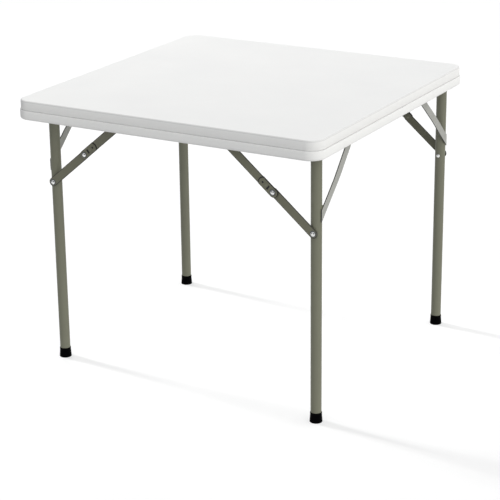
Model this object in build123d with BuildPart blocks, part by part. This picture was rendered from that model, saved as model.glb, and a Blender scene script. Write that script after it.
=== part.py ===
from build123d import *
from math import hypot, sqrt
import os

# Square folding table with a hollow moulded top and two folding steel leg frames.
# Millimetres. The origin is on the floor under the middle of the top, +Z is up.
# The leg frames swing towards each other about bars that run along Y.
# The wide frame stands at +X, the narrow one at -X, and it nests inside the wide one when folded.

# Whole table
top_width = 870.0
table_height = 740.0
overrun = 2.0

# Moulded top
rim_depth = 50.0
deck_thickness = 19.5
corner_radius = 39.0
lip_width = 16.0
lower_tier_height = 24.0
groove_height = 1.4
groove_depth = 1.0
tier_step = 2.8
top_edge_radius = 4.0
bottom_edge_radius = 6.0
lip_edge_radius = 3.0
tier_edge_radius = 1.0
panel_wall = 3.0

# Side rails, angle section
rail_end_gap = 3.0
rail_flange_gap = 2.0
sheet = 1.5
web_depth = 30.3
rail_corner_radius = 20.0
screw_count = 8
screw_end_inset = 40.0
screw_head_radius = 4.5
screw_head_height = 2.0
screw_radius = 2.0
screw_length = 10.0
screw_clearance = 0.1

# Leg frames
pivot_inset = 38.0
wide_pivot_depth = 38.7
narrow_pivot_depth = 36.5
wide_leg_inset = 65.0
narrow_leg_inset = 118.0
tube_radius = 13.8
tube_wall = 1.2
leg_crown_radius = 14.3
leg_seat_gap = 0.1
bar_radius = 8.0
bar_wall = 1.5
bar_fit = 0.05
bar_reach = 9.0

# Plastic bushes and bar caps
bush_fit = 0.06
bush_wall = 1.1
bush_hole_gap = 0.05
bush_flange_radius = 11.0
bush_flange = 1.5
cap_radius = 9.6
cap_floor = 1.5
cap_gap = 0.5

# Foot caps
foot_height = 27.0
foot_top_radius = 14.9
foot_bottom_radius = 16.2
foot_floor = 4.0
foot_chamfer = 1.2
foot_fit = 0.05

# Gusset straps between leg and bar
gusset_drop = 158.0
gusset_reach = 172.0
gusset_width = 22.5
gusset_thickness = 2.4
gusset_seat = 0.3
gusset_bend = 86.0
gusset_overlap = 4.0
gusset_top_gap = 5.0
gusset_bar_seat = 0.1

# Locking stays
stay_drop = 204.0
stay_anchor = 242.0
stay_width = 23.0
stay_thickness = 2.0
stay_standoff = 2.2
layer_gap = 0.4
elbow_step = 1.6
elbow_length = 41.0
elbow_ramp = 4.0
elbow_nose = 2.5
link_gap = 0.1
pivot_radius = 3.0
pivot_fit = 0.06
rivet_fit = 0.05
collar_radius = 6.5
collar_seat = 0.2
leg_head_radius = 6.5
leg_head_height = 1.6
inner_head_radius = 5.0
inner_head_height = 2.0
elbow_head_radius = 6.0
elbow_head_height = 1.9
elbow_tail_height = 1.8
anchor_head_height = 2.3
washer_radius = 8.2
washer_thickness = 0.4
web_standoff = 3.5
lock_plate_length = 46.0
lock_plate_bow = 5.0
lock_plate_thickness = 2.6
lock_window_length = 3.0
lock_window_width = 10.0
lock_window_place = 16.5
lock_tab_length = 5.0
lock_tab_width = 8.0
lock_tab_height = 0.8
lock_tab_place = 25.0
lock_hole_radius = 2.0
lock_hole_place = 35.0

# Brackets that carry the upper links of the narrow frame
bracket_length = 32.0
bracket_plate = 1.8
bracket_web_drop = 18.0
bracket_tab_drop = 12.0
bracket_rivet_spacing = 18.0
bracket_rivet_radius = 2.5
bracket_rivet_drop = 11.0
bracket_head_radius = 4.5
bracket_head_height = 1.8

# Places worked out from the sizes above
half_width = top_width / 2
rim_bottom = table_height - rim_depth
underside = table_height - deck_thickness
recess_half = half_width - lip_width
pivot_x = half_width - pivot_inset
wide_leg_y = half_width - wide_leg_inset
narrow_leg_y = half_width - narrow_leg_inset
lower_layer = tube_radius + stay_standoff
elbow_layer = lower_layer + stay_thickness + layer_gap
upper_layer = elbow_layer + elbow_step
anchor_layer = upper_layer + stay_thickness + web_standoff
web_y = wide_leg_y + anchor_layer
web_bottom = underside - web_depth
screw_y = (web_y + sheet + recess_half - rail_flange_gap) / 2
bar_half_length = web_y + sheet + bar_reach
bush_radius = bar_radius + bush_wall
stay_length = hypot(stay_anchor, stay_drop)
lower_link_length = (stay_length - stay_anchor + stay_drop) / 2
upper_link_length = stay_length - lower_link_length

sides = [("left", -1), ("right", 1)]
frames = [
    ("wide", 1, table_height - wide_pivot_depth, wide_leg_y),
    ("narrow", -1, table_height - narrow_pivot_depth, narrow_leg_y),
]


def write(builder, name):
    builder.part.label = name
    export_step(builder.part, f"parts/{name}.step")


def across(x, y, z, side):
    """A plane that faces outwards along Y at one side of the table, with +Z as its second axis."""
    return Plane(origin=(x, y, z), x_dir=(-side, 0, 0), z_dir=(0, side, 0))


def pin(x, y, z, side, radius, length):
    """A round shank that starts at y and runs outwards along Y."""
    with BuildSketch(across(x, y, z, side)) as round_section:
        Circle(radius)
    extrude(round_section.sketch, amount=length)


def dome(x, y, z, direction, radius, height):
    """A rivet head with its flat face at y and its crown towards direction."""
    crown_radius = (radius**2 + height**2) / (2 * height)
    half = radius / 2
    half_height = sqrt(crown_radius**2 - half**2) - (crown_radius - height)
    profile = Plane(origin=(x, y, z), x_dir=(1, 0, 0), z_dir=(0, 0, direction))
    with BuildSketch(profile) as half_section:
        with BuildLine():
            Line((0, 0), (radius, 0))
            ThreePointArc((radius, 0), (half, half_height), (0, height))
            Line((0, height), (0, 0))
        make_face()
    revolve(half_section.sketch, axis=Axis((x, y, z), (0, 1, 0)))


def screw_places():
    """X places of the screws along a rail."""
    first = screw_end_inset - recess_half
    step = (2 * recess_half - 2 * screw_end_inset) / (screw_count - 1)
    return [first + step * index for index in range(screw_count)]


# Moulded top: two-tier rim, flat deck, recess below and one hollow inside
def make_tabletop():
    hollow = top_width - 2 * (tier_step + groove_depth + panel_wall)
    with BuildPart() as tabletop:
        with BuildSketch(Plane.XY.offset(rim_bottom)):
            RectangleRounded(top_width, top_width, corner_radius)
        extrude(amount=lower_tier_height)
        fillet(tabletop.faces().sort_by(Axis.Z)[0].edges(), bottom_edge_radius)
        fillet(tabletop.faces().sort_by(Axis.Z)[-1].edges(), tier_edge_radius)
        groove_inset = tier_step + groove_depth
        with BuildSketch(Plane.XY.offset(rim_bottom + lower_tier_height)):
            RectangleRounded(
                top_width - 2 * groove_inset, top_width - 2 * groove_inset, corner_radius - groove_inset
            )
        extrude(amount=groove_height)
        with BuildSketch(Plane.XY.offset(rim_bottom + lower_tier_height + groove_height)):
            RectangleRounded(
                top_width - 2 * tier_step, top_width - 2 * tier_step, corner_radius - tier_step
            )
        extrude(amount=rim_depth - lower_tier_height - groove_height)
        fillet(tabletop.faces().sort_by(Axis.Z)[-1].edges(), top_edge_radius)
        with BuildSketch(Plane.XY.offset(rim_bottom)):
            RectangleRounded(2 * recess_half, 2 * recess_half, corner_radius - lip_width)
        extrude(amount=rim_depth - deck_thickness, mode=Mode.SUBTRACT)
        lip = tabletop.faces().sort_by(Axis.Z)[0].inner_wires()
        fillet(lip.edges(), lip_edge_radius)
        with BuildSketch(Plane.XY.offset(underside + panel_wall)):
            RectangleRounded(hollow, hollow, corner_radius - lip_edge_radius - panel_wall)
        extrude(amount=deck_thickness - 2 * panel_wall, mode=Mode.SUBTRACT)
        with BuildSketch(Plane.XY.offset(rim_bottom + panel_wall)):
            RectangleRounded(hollow, hollow, corner_radius - lip_edge_radius - panel_wall)
            inner = 2 * (recess_half + panel_wall)
            RectangleRounded(inner, inner, corner_radius - lip_width + panel_wall, mode=Mode.SUBTRACT)
        extrude(amount=rim_depth - deck_thickness, mode=Mode.SUBTRACT)
        with BuildSketch(Plane.XY.offset(underside)):
            with Locations([(x, y) for x in screw_places() for y in (-screw_y, screw_y)]):
                Circle(screw_radius + screw_clearance)
        extrude(amount=panel_wall, mode=Mode.SUBTRACT)
    write(tabletop, "tabletop")


# Side rails: a flange screwed to the deck and a web that carries the pivots
def make_rail(side_name, side):
    length = 2 * (recess_half - rail_end_gap)
    flange_edge = recess_half - rail_flange_gap
    with BuildPart() as rail:
        with BuildSketch(Plane.YZ.offset(-length / 2)):
            with BuildLine():
                Polyline(
                    (side * web_y, web_bottom),
                    (side * web_y, underside),
                    (side * flange_edge, underside),
                    (side * flange_edge, underside - sheet),
                    (side * (web_y + sheet), underside - sheet),
                    (side * (web_y + sheet), web_bottom),
                    close=True,
                )
            make_face()
        extrude(amount=length)
        outer = rail.edges().filter_by(Axis.Z).group_by(Axis.Y)[-1 if side > 0 else 0]
        fillet(outer, rail_corner_radius)
        with BuildSketch(Plane.XY.offset(underside - sheet)):
            with Locations([(x, side * screw_y) for x in screw_places()]):
                Circle(screw_radius + screw_clearance)
        extrude(amount=sheet, mode=Mode.SUBTRACT)
        for _, end, pivot_z, _ in frames:
            with BuildSketch(across(end * pivot_x, side * web_y, pivot_z, side)):
                Circle(bush_radius + bush_hole_gap)
            extrude(amount=sheet, mode=Mode.SUBTRACT)
        anchor_x = pivot_x - stay_anchor
        wide_z = frames[0][2]
        with BuildSketch(across(anchor_x, side * web_y, wide_z, side)):
            Circle(pivot_radius + rivet_fit)
        extrude(amount=sheet, mode=Mode.SUBTRACT)
        for shift in (-1, 1):
            rivet_x = -anchor_x + shift * bracket_rivet_spacing / 2
            with BuildSketch(across(rivet_x, side * web_y, underside - bracket_rivet_drop, side)):
                Circle(bracket_rivet_radius + rivet_fit)
            extrude(amount=sheet, mode=Mode.SUBTRACT)
    write(rail, f"side_rail_{side_name}")


def make_rail_screws():
    head_top = underside - sheet
    with BuildPart() as screws:
        with BuildSketch(Plane.XY.offset(head_top - screw_head_height)):
            with Locations([(x, y) for x in screw_places() for y in (-screw_y, screw_y)]):
                Circle(screw_head_radius)
        extrude(amount=screw_head_height)
        rims = screws.edges().group_by(Axis.Z)[0]
        fillet(rims, screw_head_height / 2)
        with BuildSketch(Plane.XY.offset(head_top)):
            with Locations([(x, y) for x in screw_places() for y in (-screw_y, screw_y)]):
                Circle(screw_radius)
        extrude(amount=screw_length)
    write(screws, "rail_screws")


# Brackets: from the rail, over the folded wide leg, down to the upper link's pivot
def make_bracket(side_name, side):
    centre_x = stay_anchor - pivot_x
    narrow_z = frames[1][2]
    tab_in = narrow_leg_y + anchor_layer
    plate_bottom = underside - bracket_plate
    with BuildPart() as bracket:
        with BuildSketch(Plane.YZ.offset(centre_x - bracket_length / 2)):
            with BuildLine():
                Polyline(
                    (side * web_y, underside - bracket_web_drop),
                    (side * web_y, underside),
                    (side * tab_in, underside),
                    (side * tab_in, narrow_z - bracket_tab_drop),
                    (side * (tab_in + sheet), narrow_z - bracket_tab_drop),
                    (side * (tab_in + sheet), plate_bottom),
                    (side * (web_y - sheet), plate_bottom),
                    (side * (web_y - sheet), underside - bracket_web_drop),
                    close=True,
                )
            make_face()
        extrude(amount=bracket_length)
        with BuildSketch(across(centre_x, side * tab_in, narrow_z, side)):
            Circle(pivot_radius + rivet_fit)
        extrude(amount=sheet, mode=Mode.SUBTRACT)
        for shift in (-1, 1):
            rivet_x = centre_x + shift * bracket_rivet_spacing / 2
            rivet_z = underside - bracket_rivet_drop
            with BuildSketch(across(rivet_x, side * (web_y - sheet), rivet_z, side)):
                Circle(bracket_rivet_radius + rivet_fit)
            extrude(amount=sheet, mode=Mode.SUBTRACT)
    write(bracket, f"stay_bracket_{side_name}")


def make_bracket_rivets():
    centre_x = stay_anchor - pivot_x
    rivet_z = underside - bracket_rivet_drop
    with BuildPart() as rivets:
        for _, side in sides:
            for shift in (-1, 1):
                x = centre_x + shift * bracket_rivet_spacing / 2
                inside = side * (web_y - sheet)
                outside = side * (web_y + sheet)
                pin(x, inside, rivet_z, side, bracket_rivet_radius, 2 * sheet)
                dome(x, inside, rivet_z, -side, bracket_head_radius, bracket_head_height)
                dome(x, outside, rivet_z, side, bracket_head_radius, bracket_head_height)
    write(rivets, "bracket_rivets")


# Anchor rivets: pivots of the upper links in the rails and brackets
def make_anchor_rivets(name, end, pivot_z, leg_y):
    x = end * (pivot_x - stay_anchor)
    with BuildPart() as rivets:
        for _, side in sides:
            start = leg_y + upper_layer - link_gap
            collar_in = leg_y + upper_layer + stay_thickness + link_gap
            web_in = leg_y + anchor_layer
            pin(x, side * start, pivot_z, side, pivot_radius, web_in + sheet - start)
            dome(x, side * start, pivot_z, -side, elbow_head_radius, anchor_head_height)
            pin(x, side * collar_in, pivot_z, side, collar_radius, web_in - collar_in)
            dome(x, side * (web_in + sheet), pivot_z, side, inner_head_radius, inner_head_height)
    write(rivets, f"{name}_anchor_rivets")


def make_bushes():
    with BuildPart() as bushes:
        for _, end, pivot_z, _ in frames:
            for _, side in sides:
                x = end * pivot_x
                inside = side * (web_y - bush_flange)
                pin(x, inside, pivot_z, side, bush_flange_radius, bush_flange)
                pin(x, side * web_y, pivot_z, side, bush_radius, sheet)
                pin(x, side * (web_y + sheet), pivot_z, side, bush_flange_radius, bush_flange)
                with BuildSketch(across(x, inside, pivot_z, side)):
                    Circle(bar_radius + bush_fit)
                extrude(amount=sheet + 2 * bush_flange, mode=Mode.SUBTRACT)
    write(bushes, "pivot_bushes")


# Crossbar: round tube through both legs, turning in the rails
def make_crossbar(name, end, pivot_z):
    start = Plane(
        origin=(end * pivot_x, -bar_half_length, pivot_z), x_dir=(1, 0, 0), z_dir=(0, 1, 0)
    )
    with BuildPart() as bar:
        with BuildSketch(start):
            Circle(bar_radius)
            Circle(bar_radius - bar_wall, mode=Mode.SUBTRACT)
        extrude(amount=2 * bar_half_length)
    write(bar, f"{name}_crossbar")


def make_bar_caps(name, end, pivot_z):
    x = end * pivot_x
    with BuildPart() as caps:
        for _, side in sides:
            start = web_y + sheet + bush_flange + cap_gap
            length = bar_half_length + cap_floor - start
            pin(x, side * start, pivot_z, side, cap_radius, length)
            crown = caps.edges().group_by(Axis.Y)[-1 if side > 0 else 0]
            fillet(crown, cap_floor)
            with BuildSketch(across(x, side * start, pivot_z, side)):
                Circle(bar_radius + bar_fit)
            extrude(amount=length - cap_floor, mode=Mode.SUBTRACT)
    write(caps, f"{name}_crossbar_caps")


# Leg: round tube with a crowned upper end around the crossbar
def make_leg(name, end, pivot_z, leg_y, side_name, side):
    x = end * pivot_x
    y = side * leg_y
    with BuildPart() as leg:
        with BuildSketch(Plane(origin=(x, y, foot_floor + leg_seat_gap))):
            Circle(tube_radius)
            Circle(tube_radius - tube_wall, mode=Mode.SUBTRACT)
        extrude(amount=pivot_z + leg_crown_radius - foot_floor - leg_seat_gap)
        with BuildSketch(across(x, y - side * (tube_radius + overrun), pivot_z, side)):
            with Locations((0, leg_crown_radius)):
                Rectangle(2 * (tube_radius + overrun), 2 * leg_crown_radius)
            Circle(leg_crown_radius, mode=Mode.SUBTRACT)
        extrude(amount=2 * (tube_radius + overrun), mode=Mode.SUBTRACT)
        with BuildSketch(across(x, y - side * (tube_radius + overrun), pivot_z, side)):
            Circle(bar_radius + bar_fit)
        extrude(amount=2 * (tube_radius + overrun), mode=Mode.SUBTRACT)
        with BuildSketch(across(x, y - side * (tube_radius + overrun), pivot_z - stay_drop, side)):
            Circle(pivot_radius + rivet_fit)
        extrude(amount=2 * (tube_radius + overrun), mode=Mode.SUBTRACT)
    write(leg, f"{name}_leg_{side_name}")


def make_foot_cap(name, end, leg_y, side_name, side):
    centre = (end * pivot_x, side * leg_y, 0)
    bore = tube_radius + foot_fit
    with BuildPart() as foot:
        with BuildSketch(Plane(origin=centre, x_dir=(1, 0, 0), z_dir=(0, -1, 0))):
            with BuildLine():
                Polyline(
                    (0, 0),
                    (foot_bottom_radius - foot_chamfer, 0),
                    (foot_bottom_radius, foot_chamfer),
                    (foot_top_radius, foot_height - foot_chamfer),
                    (foot_top_radius - foot_chamfer / 2, foot_height),
                    (bore, foot_height),
                    (bore, foot_floor),
                    (0, foot_floor),
                    close=True,
                )
            make_face()
        revolve(axis=Axis(centre, (0, 0, 1)))
    write(foot, f"{name}_foot_cap_{side_name}")


# Gusset: flat strap on the leg's outer face, bent to lean in to the bar's
def make_gusset(name, end, pivot_z, leg_y, side_name, side):
    x = end * pivot_x
    run = hypot(gusset_drop, gusset_reach)
    along = Vector(0, -side * gusset_reach / run, gusset_drop / run)
    leg_face = tube_radius + gusset_seat
    bar_face = bar_radius + gusset_bar_seat
    spare = 2 * gusset_width
    with BuildPart() as gusset:
        foot = Plane(origin=(x, side * leg_y, pivot_z - gusset_drop), x_dir=along, z_dir=(end, 0, 0))
        with BuildSketch(foot):
            with Locations((run / 2, 0)):
                Rectangle(run + spare, gusset_width)
        extrude(amount=leg_face + gusset_thickness + overrun)
        with BuildSketch(Plane(origin=(x, side * leg_y, pivot_z), x_dir=(end, 0, 0), z_dir=(0, -end, 0))):
            with BuildLine():
                Polyline(
                    (leg_face, -gusset_drop - spare),
                    (leg_face, -gusset_bend),
                    (bar_face, 0),
                    (bar_face, spare),
                    (bar_face + gusset_thickness, spare),
                    (bar_face + gusset_thickness, 0),
                    (leg_face + gusset_thickness, -gusset_bend),
                    (leg_face + gusset_thickness, -gusset_drop - spare),
                    close=True,
                )
            make_face()
        extrude(amount=run, both=True, mode=Mode.INTERSECT)
        leg_end = Plane(origin=(x, side * (leg_y + gusset_overlap), 0), z_dir=(0, side, 0))
        split(bisect_by=leg_end, keep=Keep.BOTTOM)
        top_end = Plane.XY.offset(pivot_z + gusset_top_gap)
        split(bisect_by=top_end, keep=Keep.BOTTOM)
    write(gusset, f"{name}_gusset_{side_name}")


def make_leg_rivets(name, end, pivot_z, leg_y):
    x = end * pivot_x
    z = pivot_z - stay_drop
    with BuildPart() as rivets:
        for _, side in sides:
            inner_seat = leg_y - tube_radius - collar_seat
            collar_in = leg_y + tube_radius + collar_seat
            link_in = leg_y + lower_layer - link_gap
            link_out = leg_y + lower_layer + stay_thickness + link_gap
            pin(x, side * inner_seat, z, side, pivot_radius, link_out - inner_seat)
            dome(x, side * inner_seat, z, -side, inner_head_radius, inner_head_height)
            pin(x, side * collar_in, z, side, collar_radius, link_in - collar_in)
            dome(x, side * link_out, z, side, leg_head_radius, leg_head_height)
            pin(x, side * link_out, z, side, washer_radius, washer_thickness)
    write(rivets, f"{name}_leg_rivets")


def link_plane(x, y, z, direction, side):
    """A sketch plane that faces outwards with its first axis along the link."""
    return Plane(origin=(x, y, z), x_dir=direction, z_dir=(0, side, 0))


# Lower link: flat strap from the leg rivet to the elbow
def make_lower_link(name, end, pivot_z, leg_y, side_name, side):
    x = end * pivot_x
    z = pivot_z - stay_drop
    y = side * (leg_y + lower_layer)
    direction = Vector(-end * stay_anchor / stay_length, 0, stay_drop / stay_length)
    with BuildPart() as link:
        with BuildSketch(link_plane(x, y, z, direction, side)):
            with Locations((lower_link_length / 2, 0)):
                SlotCenterToCenter(lower_link_length, stay_width)
            Circle(pivot_radius + pivot_fit, mode=Mode.SUBTRACT)
            with Locations((lower_link_length, 0)):
                Circle(pivot_radius + rivet_fit, mode=Mode.SUBTRACT)
        extrude(amount=stay_thickness)
    write(link, f"{name}_lower_link_{side_name}")
    elbow = Vector(x, 0, z) + direction * lower_link_length
    with BuildPart() as tail:
        pin(elbow.X, y, elbow.Z, side, pivot_radius, stay_thickness)
        dome(elbow.X, y, elbow.Z, -side, inner_head_radius, elbow_tail_height)
    write(tail, f"{name}_elbow_tail_{side_name}")


# Upper link: strap from its anchor, stepped in at the elbow, where a bow-ended lock plate lies on it
def make_upper_link(name, end, pivot_z, leg_y, side_name, side):
    x = end * (pivot_x - stay_anchor)
    direction = Vector(end * stay_anchor / stay_length, 0, -stay_drop / stay_length)
    base = side * leg_y
    half = stay_width / 2
    reach = upper_link_length + elbow_nose
    step_end = upper_link_length - elbow_length
    step_start = step_end - elbow_ramp
    plate_start = upper_link_length - lock_plate_length
    spare = stay_width
    upward = direction.cross(Vector(0, side, 0))
    sheet_face = side * (leg_y + elbow_layer + stay_thickness)
    plate_face = side * (leg_y + elbow_layer + stay_thickness + lock_plate_thickness)
    with BuildPart() as link:
        with BuildSketch(link_plane(x, base, pivot_z, direction, side)):
            with Locations((reach / 2, 0)):
                SlotCenterToCenter(reach, stay_width)
            Circle(pivot_radius + pivot_fit, mode=Mode.SUBTRACT)
        extrude(amount=upper_layer + stay_thickness + overrun)
        with BuildSketch(Plane(origin=(x, base, pivot_z), x_dir=direction, z_dir=upward)):
            with BuildLine():
                Polyline(
                    (-spare, upper_layer),
                    (step_start, upper_layer),
                    (step_end, elbow_layer),
                    (reach + spare, elbow_layer),
                    (reach + spare, elbow_layer + stay_thickness),
                    (step_end, elbow_layer + stay_thickness),
                    (step_start, upper_layer + stay_thickness),
                    (-spare, upper_layer + stay_thickness),
                    close=True,
                )
            make_face()
        extrude(amount=stay_width, both=True, mode=Mode.INTERSECT)
        with BuildSketch(link_plane(x, sheet_face, pivot_z, direction, side)):
            with BuildLine():
                ThreePointArc(
                    (plate_start + lock_plate_bow, -half), (plate_start, 0), (plate_start + lock_plate_bow, half)
                )
                Line((plate_start + lock_plate_bow, half), (reach, half))
                ThreePointArc((reach, half), (reach + half, 0), (reach, -half))
                Line((reach, -half), (plate_start + lock_plate_bow, -half))
            make_face()
        extrude(amount=lock_plate_thickness)
        with BuildSketch(link_plane(x, plate_face, pivot_z, direction, side)):
            with Locations((upper_link_length - lock_tab_place, 0)):
                Rectangle(lock_tab_length, lock_tab_width)
        extrude(amount=lock_tab_height)
        with BuildSketch(link_plane(x, base, pivot_z, direction, side)):
            with Locations((upper_link_length, 0)):
                Circle(pivot_radius + rivet_fit)
            with Locations((upper_link_length - lock_window_place, 0)):
                Rectangle(lock_window_length, lock_window_width)
            with Locations((upper_link_length - lock_hole_place, 0)):
                Circle(lock_hole_radius)
        extrude(amount=abs(plate_face - base) + overrun, mode=Mode.SUBTRACT)
    write(link, f"{name}_upper_link_{side_name}")
    elbow = Vector(x, 0, pivot_z) + direction * upper_link_length
    with BuildPart() as head:
        inner_face = side * (leg_y + elbow_layer)
        pin(elbow.X, inner_face, elbow.Z, side, pivot_radius, stay_thickness + lock_plate_thickness)
        dome(elbow.X, plate_face, elbow.Z, side, elbow_head_radius, elbow_head_height)
        pin(elbow.X, plate_face, elbow.Z, side, washer_radius, washer_thickness)
    write(head, f"{name}_elbow_head_{side_name}")


os.makedirs("parts", exist_ok=True)
make_tabletop()
make_rail_screws()
make_bracket_rivets()
make_bushes()
for side_name, side in sides:
    make_rail(side_name, side)
    make_bracket(side_name, side)
for name, end, pivot_z, leg_y in frames:
    make_crossbar(name, end, pivot_z)
    make_bar_caps(name, end, pivot_z)
    make_leg_rivets(name, end, pivot_z, leg_y)
    make_anchor_rivets(name, end, pivot_z, leg_y)
    for side_name, side in sides:
        make_leg(name, end, pivot_z, leg_y, side_name, side)
        make_foot_cap(name, end, leg_y, side_name, side)
        make_gusset(name, end, pivot_z, leg_y, side_name, side)
        make_lower_link(name, end, pivot_z, leg_y, side_name, side)
        make_upper_link(name, end, pivot_z, leg_y, side_name, side)
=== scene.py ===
import math

import bmesh
import bpy
from mathutils import Matrix, Vector
from mathutils.geometry import delaunay_2d_cdt


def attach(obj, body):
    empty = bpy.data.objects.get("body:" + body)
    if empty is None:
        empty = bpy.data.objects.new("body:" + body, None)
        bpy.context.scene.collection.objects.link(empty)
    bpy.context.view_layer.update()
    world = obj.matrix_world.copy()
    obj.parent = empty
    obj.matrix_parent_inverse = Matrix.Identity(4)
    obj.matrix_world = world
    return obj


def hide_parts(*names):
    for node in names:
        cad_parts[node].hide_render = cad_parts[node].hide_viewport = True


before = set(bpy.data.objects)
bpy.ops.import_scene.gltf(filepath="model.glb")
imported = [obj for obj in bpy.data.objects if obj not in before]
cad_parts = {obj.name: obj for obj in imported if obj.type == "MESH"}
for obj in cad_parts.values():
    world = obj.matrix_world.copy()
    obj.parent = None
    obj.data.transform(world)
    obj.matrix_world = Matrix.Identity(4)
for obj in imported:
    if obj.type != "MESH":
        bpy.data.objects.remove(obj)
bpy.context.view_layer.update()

# Square folding table. Sizes below are in millimetres and agree with the CAD part.
MM = 0.001

# Moulded top
HALF_WIDTH = 435.0
TABLE_HEIGHT = 740.0
RIM_BOTTOM = 690.0
UNDERSIDE = 720.5
CORNER_RADIUS = 39.0
LIP_WIDTH = 16.0
TIER_STEP = 2.8
GROOVE_DEPTH = 1.0
TIER_TOP = 714.0
GROOVE_TOP = 715.4
TOP_EDGE = 4.0
TOP_FLAT = 2.0
TIER_EDGE = 1.0
BOTTOM_EDGE = 6.0
LIP_EDGE = 3.0
RECESS_EDGE = 2.0

# Leg frames
PIVOT_X = 397.0
PIVOT_Z = {"wide": 701.3, "narrow": 703.5}
LEG_Y = {"wide": 370.0, "narrow": 317.0}
END = {"wide": 1, "narrow": -1}
SIDES = {"left": -1, "right": 1}
TUBE_RADIUS = 13.8
BAR_RADIUS = 8.0

# Photograph
PHOTO_WIDTH = 500


# ---------------------------------------------------------------- mesh building

EDGE_SOFTNESS = 0.29
BEAD_RIPPLE = 0.14
BEAD_STEP = 2.1
BEAD_END = 0.35
BEAD_SIDES = 8


class Shape:
    """Points in millimetres and the faces between them. kind picks the finish of new faces."""

    def __init__(self):
        self.points = []
        self.faces = []
        self.kinds = []
        self.kind = 0

    def face(self, corners):
        self.faces.append(tuple(corners))
        self.kinds.append(self.kind)

    def ring(self, loop):
        start = len(self.points)
        self.points.extend(loop)
        return list(range(start, len(self.points)))

    def band(self, a, b, closed=True):
        count = len(a) if closed else len(a) - 1
        for i in range(count):
            j = (i + 1) % len(a)
            self.face((a[i], a[j], b[j], b[i]))

    def fill(self, outer, holes, flat, lines=()):
        """Faces between an outer loop and its holes, with edges along the lines. flat gives a
        point's two coordinates."""
        loops = [outer, *holes]
        used = [i for loop in loops for i in loop] + [i for line in lines for i in line]
        place = {index: k for k, index in enumerate(used)}
        edges = [(place[a], place[b]) for loop in loops for a, b in zip(loop, loop[1:] + loop[:1])]
        edges += [(place[a], place[b]) for line in lines for a, b in zip(line, line[1:])]
        spots = [Vector(flat(i)) for i in used]
        _, _, faces, origin, _, _ = delaunay_2d_cdt(spots, edges, [], 1, 1e-5)
        hole_of = {index: k for k, hole in enumerate(holes) for index in hole}
        for face in faces:
            corners = [used[origin[v][0]] for v in face]
            owners = {hole_of.get(c, -1) for c in corners}
            if len(owners) > 1 or -1 in owners:
                self.face(corners)


def full_turn(count):
    """Angles at even steps round a circle."""
    return [2 * math.pi * k / count for k in range(count)]


def spread_rows(half):
    """Nine even steps across a strip, from -half to half."""
    return [half * (k / 4 - 1) for k in range(9)]


def lathe(shape, profile, spot, axis, segments=40):
    """Turns (radius, height) pairs about an axis through spot. The profile starts and ends on the
    axis, or ends where it starts."""
    axis = Vector(axis).normalized()
    first = axis.orthogonal().normalized()
    second = axis.cross(first)
    spot = Vector(spot)
    previous = None
    for radius, height in profile:
        middle = spot + axis * height
        if radius < 1e-6:
            current = shape.ring([tuple(middle)])
        else:
            spokes = [first * math.cos(a) + second * math.sin(a) for a in full_turn(segments)]
            current = shape.ring([tuple(middle + spoke * radius) for spoke in spokes])
        if previous is not None:
            if len(previous) == 1:
                for k in range(segments):
                    shape.face((previous[0], current[k], current[(k + 1) % segments]))
            elif len(current) == 1:
                for k in range(segments):
                    shape.face((previous[k], current[0], previous[(k + 1) % segments]))
            else:
                shape.band(previous, current)
        previous = current


def arc(centre, radius, start, end, steps):
    """(offset, height) pairs on an arc, angles in degrees."""
    turns = [math.radians(start + (end - start) * k / steps) for k in range(steps + 1)]
    return [(centre[0] + radius * math.cos(t), centre[1] + radius * math.sin(t)) for t in turns]


def slot_border(start, stop, half, stations=()):
    """A strap outline with round ends. Its long edges have points at the stations."""
    def border(inset):
        reach = half - inset
        upper = [(s, reach) for s in (start, *stations, stop)]
        turns = [math.pi / 2 - math.pi * k / 14 for k in range(1, 14)]
        nose = [(stop + reach * math.cos(a), reach * math.sin(a)) for a in turns]
        lower = [(s, -v) for s, v in reversed(upper)]
        tail = [(start - reach * math.cos(a), -reach * math.sin(a)) for a in turns]
        return upper + nose + lower + tail
    return border


def round_hole(s, v, radius, count=18):
    def border(inset):
        reach = radius + inset
        return [(s + reach * math.cos(a), v + reach * math.sin(a)) for a in full_turn(count)]
    return border


def box_hole(s, v, half_s, half_v):
    def border(inset):
        a, b = half_s + inset, half_v + inset
        return [(s - a, v - b), (s + a, v - b), (s + a, v + b), (s - a, v + b)]
    return border


def plate(shape, outline, holes, thickness, edge, place, lines=(),
          edge_kind=0, edge_rim=0.3, under_kind=0):
    """A pressed sheet. The borders give loops of (s, v), and place(s, v, h) puts a point in space.
    The lines lie in both faces, so that these can bend there. edge_kind is the kind of the edge and
    of a rim edge_rim wide beside it, and under_kind the kind of the face at h = 0; the straps and
    gussets give them finishes of painted shade."""
    soft = edge * EDGE_SOFTNESS
    steps = [(edge + edge_rim, thickness), (edge, thickness)]
    steps += [(soft, thickness - soft), (0.0, thickness - edge)]
    steps += [(0.0, edge), (soft, soft), (edge, 0.0), (edge + edge_rim, 0.0)]
    shape.kind = edge_kind
    flat = {}
    faces_at = {thickness: [], 0.0: []}

    def laid(loop, h):
        ring = shape.ring([place(s, v, h) for s, v in loop])
        flat.update(zip(ring, loop))
        return ring

    for border in (outline, *holes):
        rings = [laid(border(inset), h) for inset, h in steps]
        for a, b in zip(rings, rings[1:]):
            shape.band(a, b)
        faces_at[thickness].append(rings[0])
        faces_at[0.0].append(rings[-1])
    for h, loops in faces_at.items():
        shape.kind = 0 if h else under_kind
        shape.fill(loops[0], loops[1:], lambda i: flat[i], [laid(line, h) for line in lines])
    shape.kind = 0


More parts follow.
